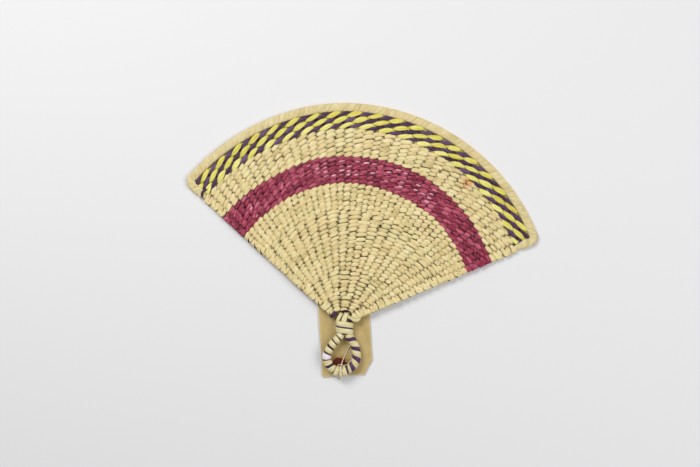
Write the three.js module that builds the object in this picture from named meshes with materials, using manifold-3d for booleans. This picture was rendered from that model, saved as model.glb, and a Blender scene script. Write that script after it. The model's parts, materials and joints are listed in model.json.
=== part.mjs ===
// A woven palm leaf hand fan with a wrapped loop handle and a paper tag.
// Forty ribs spread from the handle. Twined rows of leaf strip bind them into a stiff blade, which
// ends in a plaited rim. The tag hangs by its string from the bottom of the loop and swings there.
// Units are millimetres. The blade lies face up, +Y runs from the handle to the rim, +Z is up.
import * as THREE from "three";
import { mergeVertices } from "three/addons/utils/BufferGeometryUtils.js";
import Module from "manifold-3d";

const wasm = await Module();
wasm.setup();

const degrees = Math.PI / 180;

// Blade
const openingAngle = 115 * degrees; // between the two side edges, which meet at the apex
const ribGroups = 10; // ribs that reach the handle
const ribsPerGroup = 4; // ribs that each of those has become at the rim
const ribWidth = 2;
const ribThickness = 1.2;
const ribPairWidth = 1.4; // where ribs run in pairs beside the handle
const ribButtWidth = 0.6; // at the pointed lower end, inside the neck
const ribGap = 0.5; // between ribs that lie side by side
const ribClearance = 0.25; // round a rib, inside the rows and the rim
const ribBend = 4; // half the length over which a rib moves over to its next place
const ribTuck = 6; // how far a new rib reaches down beside the old one
const ribInRim = 5; // how far a rib end reaches into the rim
const pairedDepth = 15; // rows that still take the ribs in pairs
const neckGap = 13.5; // apex to the first row
const neckWeftDepth = 36.5;
const innerWeftDepth = 53.8;
const middleWeftDepth = 24.8;
const magentaWeftDepth = 24.4;
const outerWeftDepth = 24;
const stripeDepth = 15.8;
const rimDepth = 7.5;
const weftThickness = 3.2;
const rimThickness = 4.8;
const bandGap = 0.4; // between neighbouring bands of rows
const edgeDrop = 6; // rows come this much nearer the apex at the side edges
const leftDrop = 4; // and over the left part of the blade they come this much nearer still
const rimLeftDrop = 2.2; // the rim comes nearer by this much there
const leftDropStart = 8 * degrees; // from the blade's middle line, where the left part begins
const leftDropEnd = 42 * degrees; // and where its drop is full
const fullDropRadius = 120; // rows inside this radius drop in proportion to their own
const returnWidth = 7; // the rim turns down each side edge as a strip this wide
const rimCorner = 7; // radius of the rim's two outer corners
const rimBevel = 1.2;

// Striped band: twined pairs of one yellow and one purple strand
const stripeRows = 3;
const stitchWidth = 4.4;
const stitchThickness = 0.6;
const stitchHeight = 1.55; // of a stitch's middle above or below the middle of the blade
const crossWidth = 1.2; // a strand is gathered to this where it passes between two ribs
const crossThickness = 1;
const crossOffset = 1.6; // of each strand from the row's middle, where the two pass each other
const seatGap = 0.3; // from a strand's end to the rim

// Handle, in its own frame: +Y from the loop to the blade, its origin in the middle of the neck
const neckAside = 2.904; // of the middle of the neck from the apex, along its own axes
const neckDrop = 9.017; // of the middle of the neck below the first row, at its outermost ribs
const handleTurn = 9.7 * degrees; // the handle is bent this much from the blade's middle line
const neckMargin = 0.15; // of the neck beyond its binding, at both ends
const neckCover = 0.75; // of the neck over the legs of the loop
const neckWall = 1.05;
const slotDepth = 6; // the slot in the neck, which takes the ribs
const slotClearance = 0.5;
const coreRadius = 2.85; // of the bundle of leaf stems that is bent into the loop
const loopPoints = [
  [-3.1, -4.2],
  [-4.1, -8],
  [-9, -13.4],
  [-13.7, -20],
  [-15.9, -28.4],
  [-10.2, -37.6],
  [-3.15, -39.6],
  [3.9, -37.6],
  [10.2, -30],
  [10.4, -21],
  [7.8, -13.4],
  [4.1, -8],
  [3.1, -4.2],
];

// Strips wound on the handle
const stripThickness = 0.6;
const stripGap = 0.45; // under a strip, which is straight across while the core bends
const strawStripWidth = 4.4;
const purpleStripWidth = 2.6;
const loopTurns = 9; // of each strip on the loop
const loopBareLength = 9; // of each leg beside the neck
const neckStripWidth = 4.8;
const neckTurns = 1.5;
const neckPitch = 5.4;
const hitchLength = 11.7; // of the sleeve that the last strip makes on the bottom of the loop
const hitchGap = 0.3; // under the sleeve
const hitchWall = 0.9;

// Tag, in its own frame: +Y along the tag, its origin in the middle of the hole
const holePlace = new THREE.Vector2(-1.675, 4.65); // from the bottom of the loop, along the handle's axes
const tagTurn = 3.4 * degrees; // from the handle
const cardLeft = 15.7;
const cardRight = 30.15;
const cardBelow = 9.6;
const cardLength = 120.7;
const cardThickness = 0.35;
const cornerWidth = 8; // the clipped corner
const cornerHeight = 13.3;
const holeDiameter = 4.6;
const patchDiameter = 14;
const patchThickness = 0.25;
const pasteThickness = 0.05;
const hitchClearance = 0.2; // between the patch and the hitch above it
const stringDiameter = 0.9;
const stringClearance = 0.2; // above and below the string, where it runs under the card
const stringSides = 8;
const stringSteps = 72;

// Radii of the bands on the blade's middle line
const neckWeftStart = neckGap;
const innerWeftStart = neckWeftStart + neckWeftDepth;
const middleWeftStart = innerWeftStart + innerWeftDepth;
const magentaWeftStart = middleWeftStart + middleWeftDepth;
const outerWeftStart = magentaWeftStart + magentaWeftDepth;
const stripeStart = outerWeftStart + outerWeftDepth;
const rimStart = stripeStart + stripeDepth;
const rimRadius = rimStart + rimDepth;
const pairedEnd = neckWeftStart + pairedDepth;

// Angles, from the blade's middle line towards +X
const halfAngle = openingAngle / 2;
const ribCount = ribGroups * ribsPerGroup;
const ribPitch = openingAngle / ribCount;
const outerPairAngle = halfAngle - ribsPerGroup * ribPitch;

// Heights above the surface that the fan lies on
const bladeHeight = rimThickness / 2;
const cardHeight = stringDiameter + 2 * stringClearance;
const patchHeight = cardHeight + cardThickness + pasteThickness;
const wrapDepth = stripGap + stripThickness;
const hitchRadius = coreRadius + wrapDepth + hitchGap + hitchWall;
const handleHeight = patchHeight + patchThickness + hitchClearance + hitchRadius;

// The neck lies low enough for the outermost ribs, takes in the legs of the loop, and is as long as
// its binding.
const neckPlace = new THREE.Vector2(
  neckAside,
  neckGap * Math.cos(outerPairAngle + handleTurn) - neckDrop,
).rotateAround(new THREE.Vector2(), handleTurn);
const neckThickness = 2 * (coreRadius + neckCover);
const neckRun = neckTurns * neckPitch;
const neckHeight = neckRun + neckStripWidth + 2 * neckMargin;

// A row's radius at an angle: it is nearest the apex at the side edges, and lower at the left.
function rowRadius(radius, angle) {
  const rimShare = THREE.MathUtils.clamp((radius - outerWeftStart) / (rimRadius - outerWeftStart), 0, 1);
  const leftShare = THREE.MathUtils.smoothstep(-angle, leftDropStart, leftDropEnd);
  const sideDrop = edgeDrop * (angle / halfAngle) ** 2;
  const drop = sideDrop + THREE.MathUtils.lerp(leftDrop, rimLeftDrop, rimShare) * leftShare;
  return radius - drop * Math.min(1, radius / fullDropRadius);
}

// The rim lies flat and the blade rises from it to the handle.
const flatRadius = Math.min(rowRadius(stripeStart, -halfAngle), rowRadius(stripeStart, halfAngle));
function lift(radius) {
  return (handleHeight - bladeHeight) * Math.max(0, 1 - radius / flatRadius);
}

function onBlade(radius, angle, height) {
  const z = bladeHeight + lift(radius) + height;
  return new THREE.Vector3(radius * Math.sin(angle), radius * Math.cos(angle), z);
}

function handleToBlade(x, y) {
  return new THREE.Vector2(x, y).rotateAround(new THREE.Vector2(), handleTurn).add(neckPlace);
}

// Joins rings of points, in order along a path, into one closed skin with flat ends.
function loft(rings) {
  const size = rings[0].length;
  const last = (rings.length - 1) * size;
  const index = [];
  for (let start = 0; start < last; start += size) {
    for (let k = 0; k < size; k++) {
      const a = start + k;
      const b = start + ((k + 1) % size);
      index.push(a, b, b + size, a, b + size, a + size);
    }
  }
  for (let k = 1; k + 1 < size; k++) {
    index.push(0, k + 1, k);
    index.push(last, last + k, last + k + 1);
  }
  return new THREE.BufferGeometry().setFromPoints(rings.flat()).setIndex(index);
}

function circlePoints(radius, sides) {
  const points = [];
  for (let k = 0; k < sides; k++) {
    const angle = (2 * Math.PI * k) / sides;
    points.push(new THREE.Vector2(radius * Math.cos(angle), radius * Math.sin(angle)));
  }
  return points;
}

function solidOf(geometry) {
  const bare = new THREE.BufferGeometry();
  bare.setAttribute("position", geometry.getAttribute("position"));
  bare.setIndex(geometry.getIndex());
  const merged = mergeVertices(bare);
  const vertProperties = merged.getAttribute("position").array;
  const triVerts = new Uint32Array(merged.getIndex().array);
  return new wasm.Manifold(new wasm.Mesh({ numProp: 3, vertProperties, triVerts }));
}

function geometryOf(solid) {
  const mesh = solid.getMesh();
  const geometry = new THREE.BufferGeometry();
  geometry.setAttribute("position", new THREE.BufferAttribute(mesh.vertProperties, 3));
  geometry.setIndex(new THREE.BufferAttribute(mesh.triVerts, 1));
  return geometry;
}

function join(first, second) {
  return geometryOf(solidOf(first).add(solidOf(second)));
}

function cut(base, tools) {
  let solid = solidOf(base);
  for (const tool of tools) {
    solid = solid.subtract(solidOf(tool));
  }
  return geometryOf(solid);
}

const fan = new THREE.Group();
const handle = new THREE.Group();
handle.position.set(neckPlace.x, neckPlace.y, handleHeight);
handle.rotation.z = handleTurn;
fan.add(handle);

function addPiece(parent, name, geometry, color, roughness) {
  const material = new THREE.MeshStandardMaterial({ color, roughness, metalness: 0 });
  const mesh = new THREE.Mesh(geometry, material);
  mesh.name = name;
  parent.add(mesh);
  return mesh;
}

const straw = 0xd4c494;
const ribStraw = 0xbfae7c;
const magenta = 0x923c4f;
const yellow = 0xd9cf60;
const purple = 0x5b3e53;
const manila = 0xb6a06b;
const fibre = 0x4a2416;
const cotton = 0xd7bea5;
const leafRoughness = 0.6;
const paperRoughness = 0.85;

// Ribs. Each of the ten that reach the neck gets a neighbour where the inner rows begin, and each of
// those twenty gets another where the middle rows begin. A rib's route is a list of stations.

function polarStation(radius, angle, width) {
  const place = new THREE.Vector2(radius * Math.sin(angle), radius * Math.cos(angle));
  return { place, width };
}

function sideStation(radius, angle, aside, width) {
  const station = polarStation(radius, angle, width);
  station.place.add(new THREE.Vector2(Math.cos(angle), -Math.sin(angle)).multiplyScalar(aside));
  return station;
}

const middleRib = (ribCount - 1) / 2;
const buttPitch = ribButtWidth + ribGap;

function ribRoute(number) {
  const group = Math.floor(number / ribsPerGroup);
  const member = number % ribsPerGroup;
  const singleAngle = (number - middleRib) * ribPitch;
  const doubleAngle = (2 * Math.floor(number / 2) + 0.5 - middleRib) * ribPitch;
  const groupAngle = (ribsPerGroup * (group + 0.5) - 0.5 - middleRib) * ribPitch;
  const isFirst = member === 1;
  const isSecond = member === 2;
  const route = [];
  const innerStart = rowRadius(innerWeftStart, groupAngle);
  const middleStart = rowRadius(middleWeftStart, doubleAngle);
  if (isFirst) {
    const pair = Math.floor(group / 2);
    const pairAngle = (2 * ribsPerGroup * (pair + 0.5) - 0.5 - middleRib) * ribPitch;
    const aside = ((ribPairWidth + ribGap) / 2) * (group % 2 === 0 ? -1 : 1);
    const buttPlace = (group - (ribGroups - 1) / 2) * buttPitch;
    const mouth = neckHeight / 2;
    const deepest = mouth - slotDepth + slotClearance;
    route.push({ place: handleToBlade(buttPlace, deepest), width: ribButtWidth });
    route.push({ place: handleToBlade(buttPlace, mouth), width: ribButtWidth });
    route.push(sideStation(neckWeftStart, pairAngle, aside, ribPairWidth));
    route.push(sideStation(pairedEnd - ribBend, pairAngle, aside, ribPairWidth));
    route.push(polarStation(pairedEnd + ribBend, groupAngle, ribWidth));
    route.push(polarStation(innerStart - ribBend, groupAngle, ribWidth));
  }
  if (isSecond) {
    route.push(sideStation(innerStart - ribTuck, groupAngle, ribWidth + ribGap, ribWidth));
  }
  if (isFirst || isSecond) {
    route.push(polarStation(innerStart + ribBend, doubleAngle, ribWidth));
    route.push(polarStation(middleStart - ribBend, doubleAngle, ribWidth));
  } else {
    const aside = (ribWidth + ribGap) * Math.sign(singleAngle - doubleAngle);
    route.push(sideStation(middleStart - ribTuck, doubleAngle, aside, ribWidth));
  }
  route.push(polarStation(middleStart + ribBend, singleAngle, ribWidth));
  route.push(polarStation(flatRadius, singleAngle, ribWidth));
  route.push(polarStation(rowRadius(rimStart, singleAngle) + ribInRim, singleAngle, ribWidth));
  return route;
}

// A rib, or with a clearance the room that it takes in its neighbours.
function ribShape(number, clearance) {
  const route = ribRoute(number);
  const halfHeight = ribThickness / 2 + clearance;
  const rings = route.map((station, k) => {
    const before = route[Math.max(0, k - 1)].place;
    const after = route[Math.min(route.length - 1, k + 1)].place;
    const along = after.clone().sub(before).normalize();
    const isStart = k === 0;
    const isEnd = k === route.length - 1;
    const place = station.place.clone();
    place.addScaledVector(along, (isEnd - isStart) * clearance);
    const left = new THREE.Vector2(-along.y, along.x);
    left.multiplyScalar(station.width / 2 + clearance);
    const z = bladeHeight + lift(place.length());
    const corner = (side, up) =>
      new THREE.Vector3(place.x + side * left.x, place.y + side * left.y, z + up * halfHeight);
    return [corner(-1, -1), corner(1, -1), corner(1, 1), corner(-1, 1)];
  });
  return loft(rings);
}

const ribRoom = [];
for (let number = 0; number < ribCount; number++) {
  const name = "rib_" + String(number + 1).padStart(2, "0");
  addPiece(fan, name, ribShape(number, 0), ribStraw, leafRoughness);
  ribRoom.push(ribShape(number, ribClearance));
}

// Bands of twined rows, each one plate with a channel for every rib.

function bandPlate(start, end, steps) {
  const inner = start + bandGap / 2;
  const outer = end - bandGap / 2;
  const half = weftThickness / 2;
  const rings = [];
  for (let k = 0; k <= steps; k++) {
    const angle = -halfAngle + (openingAngle * k) / steps;
    rings.push([
      onBlade(rowRadius(inner, angle), angle, -half),
      onBlade(rowRadius(outer, angle), angle, -half),
      onBlade(rowRadius(outer, angle), angle, half),
      onBlade(rowRadius(inner, angle), angle, half),
    ]);
  }
  return loft(rings);
}

function addBand(name, start, depth, steps, color) {
  const plate = bandPlate(start, start + depth, steps);
  addPiece(fan, name, cut(plate, ribRoom), color, leafRoughness);
}

addBand("weft_neck", neckWeftStart, neckWeftDepth, 16, straw);
addBand("weft_inner", innerWeftStart, innerWeftDepth, 20, straw);
addBand("weft_middle", middleWeftStart, middleWeftDepth, 24, straw);
addBand("weft_magenta", magentaWeftStart, magentaWeftDepth, 28, magenta);
addBand("weft_outer", outerWeftStart, outerWeftDepth, 32, straw);

// Striped band. Two strands twist round the ribs in each row: the one in front of a rib goes behind
// the next, and they pass each other in the gap between. The rows start one rib further along, so
// that the purple stitches line up as slanting stripes. The outermost ribs lie in the rim's returns.

function strandRing(radius, angle, height, width, thickness) {
  return [
    onBlade(radius - width / 2, angle, height - thickness / 2),
    onBlade(radius + width / 2, angle, height - thickness / 2),
    onBlade(radius + width / 2, angle, height + thickness / 2),
    onBlade(radius - width / 2, angle, height + thickness / 2),
  ];
}

function twinedStrand(row, isPurple) {
  const middle = stripeStart + (stripeDepth * (row + 0.5)) / stripeRows;
  const rings = [];
  function addCrossing(angle, aside) {
    const radius = rowRadius(middle, angle) + aside;
    rings.push(strandRing(radius, angle, 0, crossWidth, crossThickness));
  }
  const room = returnWidth + seatGap;
  const leftEnd = -halfAngle + room / rowRadius(middle, -halfAngle);
  const rightEnd = halfAngle - room / rowRadius(middle, halfAngle);
  for (let number = 1; number + 1 < ribCount; number++) {
    const angle = (number - middleRib) * ribPitch;
    const isFront = ((number + row) % 2 === 0) === isPurple;
    const side = isFront ? 1 : -1;
    if (number === 1) {
      addCrossing(leftEnd, -side * crossOffset);
    }
    const radius = rowRadius(middle, angle);
    rings.push(strandRing(radius, angle, side * stitchHeight, stitchWidth, stitchThickness));
    const isLast = number + 2 === ribCount;
    addCrossing(isLast ? rightEnd : angle + ribPitch / 2, side * crossOffset);
  }
  return loft(rings);
}

for (let row = 0; row < stripeRows; row++) {
  addPiece(fan, `stripe_yellow_${row + 1}`, twinedStrand(row, false), yellow, leafRoughness);
  addPiece(fan, `stripe_purple_${row + 1}`, twinedStrand(row, true), purple, leafRoughness);
}

// Rim: the ribs turned over and plaited, round the blade's edge and a little way down both sides.

function flatPoint(radius, angle) {
  return [radius * Math.sin(angle), radius * Math.cos(angle)];
}

// Points and angles on one side of the rim, where side is -1 at the left and 1 at the right.
function rimSide(side) {
  const edge = side * halfAngle;
  const foot = rowRadius(stripeStart, edge) + bandGap;
  const outer = rowRadius(rimRadius, edge);
  const inner = rowRadius(rimStart + bandGap / 2, edge);
  return {
    foot: flatPoint(foot, edge),
    innerFoot: flatPoint(foot, side * (halfAngle - returnWidth / foot)),
    innerAngle: side * (halfAngle - returnWidth / inner),
    corner: flatPoint(outer, edge),
    cornerStart: flatPoint(outer - rimCorner, edge),
    cornerAngle: side * (halfAngle - rimCorner / outer),
  };
}

function rimOutline() {
  const shape = new THREE.Shape();
  const arcSteps = 32;
  const left = rimSide(-1);
  const right = rimSide(1);
  const rowPoint = (radius, angle) => flatPoint(rowRadius(radius, angle), angle);
  function arcTo(radius, startAngle, endAngle) {
    for (let k = 1; k <= arcSteps; k++) {
      const angle = THREE.MathUtils.lerp(startAngle, endAngle, k / arcSteps);
      shape.lineTo(...rowPoint(radius, angle));
    }
  }
  shape.moveTo(...left.foot);
  shape.lineTo(...left.cornerStart);
  shape.quadraticCurveTo(...left.corner, ...rowPoint(rimRadius, left.cornerAngle));
  arcTo(rimRadius, left.cornerAngle, right.cornerAngle);
  shape.quadraticCurveTo(...right.corner, ...right.cornerStart);
  shape.lineTo(...right.foot);
  shape.lineTo(...right.innerFoot);
  const innerEdge = rimStart + bandGap / 2;
  shape.lineTo(...rowPoint(innerEdge, right.innerAngle));
  arcTo(innerEdge, right.innerAngle, left.innerAngle);
  shape.lineTo(...left.innerFoot);
  shape.closePath();
  return shape;
}

const rimBlank = new THREE.ExtrudeGeometry(rimOutline(), {
  depth: rimThickness - 2 * rimBevel,
  bevelThickness: rimBevel,
  bevelSize: rimBevel,
  bevelOffset: -rimBevel,
  bevelSegments: 1,
  curveSegments: 4,
});
rimBlank.translate(0, 0, rimBevel);
addPiece(fan, "rim_border", cut(rimBlank, ribRoom), straw, leafRoughness);

// Handle core: a bundle of stems bent into a loop, and the neck that holds the ribs' lower ends.

const loopRoute = new THREE.CatmullRomCurve3(loopPoints.map(([x, y]) => new THREE.Vector3(x, y, 0)));
loopRoute.arcLengthDivisions = 600;
const loopLength = loopRoute.getLength();
const loopSteps = 36;
const coreSides = 12;

const slotWidth = (ribGroups - 1) * buttPitch + ribButtWidth + 2 * slotClearance;
const neckHalfWidth = slotWidth / 2 + neckWall;

// A point round the neck, a given distance outside it.
function onNeck(along, angle, gap) {
  const x = (neckHalfWidth + gap) * Math.sin(angle);
  const z = (neckThickness / 2 + gap) * Math.cos(angle);
  return new THREE.Vector3(x, along, z);
}

function neckRing(along) {
  const sides = 24;
  const ring = [];
  for (let k = 0; k < sides; k++) {
    ring.push(onNeck(along, (2 * Math.PI * k) / sides, 0));
  }
  return ring;
}

const loopTube = new THREE.ExtrudeGeometry(new THREE.Shape(circlePoints(coreRadius, coreSides)), {
  steps: loopSteps,
  extrudePath: loopRoute,
});
const neckBlock = loft([neckRing(-neckHeight / 2), neckRing(neckHeight / 2)]);
const slotHeight = ribThickness + 2 * slotClearance;
const ribSlot = new THREE.BoxGeometry(slotWidth, 2 * slotDepth, slotHeight);
ribSlot.translate(0, neckHeight / 2, 0);
const core = cut(join(loopTube, neckBlock), [ribSlot]);
addPiece(handle, "handle_core", core, ribStraw, leafRoughness);

// Strips wound on the neck and the loop, each one unbroken run of flat leaf.

const acrossLoop = new THREE.Vector3(0, 0, 1);

// A point round the loop's core, a given distance outside it.
function onLoop(along, angle, gap) {
  const share = along / loopLength;
  const sideways = acrossLoop.clone().cross(loopRoute.getTangentAt(share));
  const radius = coreRadius + gap;
  const point = loopRoute.getPointAt(share);
  point.addScaledVector(sideways, radius * Math.cos(angle));
  return point.addScaledVector(acrossLoop, radius * Math.sin(angle));
}

const stepsPerTurn = 14;

function woundRings(onForm, start, end, turns, width, startAngle) {
  const steps = turns * stepsPerTurn;
  const rings = [];
  for (let k = 0; k <= steps; k++) {
    const along = start + ((end - start) * k) / steps;
    const angle = startAngle + (2 * Math.PI * k) / stepsPerTurn;
    rings.push([
      onForm(along - width / 2, angle, stripGap),
      onForm(along + width / 2, angle, stripGap),
      onForm(along + width / 2, angle, wrapDepth),
      onForm(along - width / 2, angle, wrapDepth),
    ]);
  }
  return rings;
}

// The least distance between points of a strip that are half a turn or more apart along it.
function leastGap(rings) {
  let least = Infinity;
  rings.forEach((ring, k) => {
    for (const point of rings.slice(k + stepsPerTurn / 2).flat()) {
      for (const corner of ring) {
        least = Math.min(least, corner.distanceTo(point));
      }
    }
  });
  return least;
}

function addWinding(name, rings, color) {
  addPiece(handle, name, loft(rings), color, leafRoughness);
  console.log(`${name}: least gap to itself ${leastGap(rings).toFixed(2)} mm`);
}

const leftSide = -Math.PI / 2;
const neckWrap = woundRings(onNeck, neckRun / 2, -neckRun / 2, neckTurns, neckStripWidth, leftSide);
addWinding("neck_binding", neckWrap, straw);

const wrapStart = loopBareLength;
const wrapEnd = loopLength - loopBareLength;
const wrapPitch = (wrapEnd - wrapStart) / (loopTurns + 0.5);
const strawEnd = wrapEnd - wrapPitch / 2;
const purpleStart = wrapStart + wrapPitch / 2;
const strawWrap = woundRings(onLoop, strawEnd, wrapStart, loopTurns, strawStripWidth, 0);
const purpleWrap = woundRings(onLoop, wrapEnd, purpleStart, loopTurns, purpleStripWidth, 0);
addWinding("loop_wrap_straw", strawWrap, straw);
addWinding("loop_wrap_purple", purpleWrap, purple);

// The hitch that ends the straw strip, a sleeve on the bottom of the loop.

const bottomAt = loopRoute.getLengths()[loopRoute.arcLengthDivisions / 2];
const hitchSides = 12;
const cutOver = 1; // the cut reaches this far past both ends

function hitchRing(along, gap) {
  const ring = [];
  for (let k = 0; k < hitchSides; k++) {
    ring.push(onLoop(along, (2 * Math.PI * k) / hitchSides, gap));
  }
  return ring;
}

function hitchTube(length, gap) {
  const steps = 6;
  const rings = [];
  for (let k = 0; k <= steps; k++) {
    rings.push(hitchRing(bottomAt + length * (k / steps - 0.5), gap));
  }
  return loft(rings);
}

const hitchInside = wrapDepth + hitchGap;
const hitchOutside = hitchTube(hitchLength, hitchInside + hitchWall);
const hitchRoom = hitchTube(hitchLength + 2 * cutOver, hitchInside);
addPiece(handle, "loop_hitch", cut(hitchOutside, [hitchRoom]), straw, leafRoughness);

// Tag: a card with one clipped corner, a fibre patch pasted round its hole, and the string that goes
// through the hole and over the bottom of the loop.

const loopBottom = new THREE.Vector2(...loopPoints[(loopPoints.length - 1) / 2]);
const tag = new THREE.Group();
tag.position.set(loopBottom.x + holePlace.x, loopBottom.y + holePlace.y, -handleHeight);
tag.rotation.z = tagTurn;
handle.add(tag);

const holeSides = 20;
const tagHole = new THREE.Path(circlePoints(holeDiameter / 2, holeSides));

const cardShape = new THREE.Shape([
  new THREE.Vector2(-cardLeft, -cardBelow),
  new THREE.Vector2(cardRight - cornerWidth, -cardBelow),
  new THREE.Vector2(cardRight, cornerHeight - cardBelow),
  new THREE.Vector2(cardRight, cardLength - cardBelow),
  new THREE.Vector2(-cardLeft, cardLength - cardBelow),
]);
cardShape.holes.push(tagHole);
const card = new THREE.ExtrudeGeometry(cardShape, { depth: cardThickness, bevelEnabled: false });
addPiece(tag, "tag_card", card, manila, paperRoughness).position.z = cardHeight;

const patchSides = 32;
const patchShape = new THREE.Shape(circlePoints(patchDiameter / 2, patchSides));
patchShape.holes.push(tagHole);
const patch = new THREE.ExtrudeGeometry(patchShape, { depth: patchThickness, bevelEnabled: false });
addPiece(tag, "tag_patch", patch, fibre, paperRoughness).position.z = patchHeight;

// The string's route, from the middle of the loop's bottom along the handle's axes: out from under
// the right leg, over the loop, round the card's end, up through the hole, and back into the loop.
const stringPoints = [
  [11.2, 26.5, -5],
  [8.1, 22.5, -5],
  [6, 18.7, -5],
  [4.05, 14.85, -4.9],
  [2.25, 11.25, -4.5],
  [1.1, 8.2, -2.6],
  [0.5, 6.1, 1.2],
  [0, 3.9, 4.7],
  [-0.4, 0, 6.1],
  [-0.6, -3.9, 4.7],
  [-0.6, -6.3, 1],
  [-0.6, -7.65, -2.2],
  [-0.65, -7.95, -4.4],
  [-0.7, -7.65, -5.5],
  [-0.8, -6.85, -6.3],
  [-0.95, -5.75, -6.6],
  [-1.8, -3.2, -6.6],
  [-2.9, -0.9, -6.6],
  [-3.7, 1.3, -6.6],
  [-3.75, 3.5, -6.5],
  [-2.65, 5.1, -5.9],
  [-0.9, 5.45, -5.1],
  [0.9, 5.1, -4.65],
  [2.7, 4.8, -4.6],
  [4.6, 5.2, -4.75],
  [6.5, 6.2, -4.9],
  [8.2, 7.8, -5],
  [9.3, 10, -5.05],
  [9.2, 12.8, -5.05],
  [8.2, 15.6, -5.05],
  [7.2, 17.9, -5.05],
];
const stringRoute = new THREE.CatmullRomCurve3(stringPoints.map((p) => new THREE.Vector3(...p)));
const stringSection = new THREE.Shape(circlePoints(stringDiameter / 2, stringSides));
const stringTube = new THREE.ExtrudeGeometry(stringSection, {
  steps: stringSteps,
  extrudePath: stringRoute,
});
const tagString = addPiece(handle, "tag_string", stringTube, cotton, paperRoughness);
tagString.position.set(loopBottom.x, loopBottom.y, 0);

// The part's origin is the middle of the fan's footprint, without the string, on the surface below.
fan.updateMatrixWorld(true);
const footprint = new THREE.Box3();
fan.traverse((piece) => {
  if (piece.isMesh && piece !== tagString) {
    footprint.expandByObject(piece, true);
  }
});
const middle = footprint.getCenter(new THREE.Vector3());
fan.position.set(-middle.x, -middle.y, -footprint.min.z);

export default fan;
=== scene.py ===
"""Looks of a woven palm leaf hand fan with a wrapped loop handle and a paper tag.

The blade's rows are real strands: two of them twine round the ribs in each row. Sizes are in metres.
"""

from dataclasses import dataclass
import json
import math

import bpy
import numpy as np
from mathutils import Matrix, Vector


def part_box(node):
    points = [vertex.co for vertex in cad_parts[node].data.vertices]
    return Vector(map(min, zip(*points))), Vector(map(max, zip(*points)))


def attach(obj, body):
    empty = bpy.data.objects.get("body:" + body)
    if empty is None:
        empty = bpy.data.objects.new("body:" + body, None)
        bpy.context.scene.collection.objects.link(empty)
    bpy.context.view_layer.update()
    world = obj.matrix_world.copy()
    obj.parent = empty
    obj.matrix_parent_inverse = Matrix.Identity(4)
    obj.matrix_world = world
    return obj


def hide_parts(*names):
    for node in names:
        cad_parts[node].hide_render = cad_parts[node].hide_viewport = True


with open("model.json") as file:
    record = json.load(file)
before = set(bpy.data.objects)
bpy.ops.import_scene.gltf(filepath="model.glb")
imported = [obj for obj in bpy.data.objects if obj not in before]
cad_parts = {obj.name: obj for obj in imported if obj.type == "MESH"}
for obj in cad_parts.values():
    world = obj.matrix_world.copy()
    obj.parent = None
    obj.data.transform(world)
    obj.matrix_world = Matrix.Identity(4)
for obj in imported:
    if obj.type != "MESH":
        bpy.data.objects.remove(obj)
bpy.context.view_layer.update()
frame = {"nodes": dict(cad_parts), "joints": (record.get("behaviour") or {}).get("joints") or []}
rng = np.random.default_rng(11)

MM = 0.001

# Blade, as in the frame: radii on its middle line, from the apex where the side edges meet
HALF_ANGLE = math.radians(57.5)
NECK_START = 13.5 * MM
INNER_START = 50 * MM
MIDDLE_START = 103.8 * MM
MAGENTA_START = 128.6 * MM
OUTER_START = 153 * MM
STRIPE_START = 177 * MM
RIM_START = 192.8 * MM
RIM_RADIUS = 200.3 * MM
EDGE_DROP = 6 * MM  # rows come this much nearer the apex at the side edges
LEFT_DROP = 4 * MM  # and this much nearer still over the left part
RIM_LEFT_DROP = 2.2 * MM
LEFT_DROP_START = math.radians(8)  # from the middle line
LEFT_DROP_END = math.radians(42)
FULL_DROP_RADIUS = 120 * MM  # rows inside it drop in proportion to their own radius
RIM_THICKNESS = 4.8 * MM
RETURN_WIDTH = 7 * MM  # of the rim down the side edges
RIB_COUNT = 40

# Strands of the rows
PAIRED_END = 27.5 * MM  # radius at which five columns of stitches become ten
RISE = 1.15 * MM  # of a stitch's middle from the middle of the blade
FACE_HALF = 0.4 * MM  # half a strand's thickness where it shows
CROSS_HALF = 0.5 * MM  # and where it is gathered between two ribs
TURN_HALF = 0.95 * MM  # and where it turns round the last rib
ROW_WIDTH = 1.06  # a stitch's width at its middle, in rows

# Handle, as in the frame: its own axes start at the middle of the neck
HANDLE_TURN = math.radians(9.7)
CORE_RADIUS = 2.85 * MM
NECK_HALF_WIDTH = 6.8 * MM
NECK_HALF_THICKNESS = 3.6 * MM
LOOP_POINTS = np.array([
    (-3.1, -4.2), (-4.1, -8), (-9, -13.4), (-13.7, -20), (-15.9, -28.4), (-10.2, -37.6), (-3.15, -39.6),
    (3.9, -37.6), (10.2, -30), (10.4, -21), (7.8, -13.4), (4.1, -8), (3.1, -4.2),
]) * MM

# Tag, as in the frame: its own axes start at the middle of the hole
TAG_TURN = HANDLE_TURN + math.radians(3.4)
CARD_LEFT = 15.7 * MM
CARD_RIGHT = 30.15 * MM
CARD_BELOW = 9.6 * MM
CARD_LENGTH = 120.7 * MM

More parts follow.
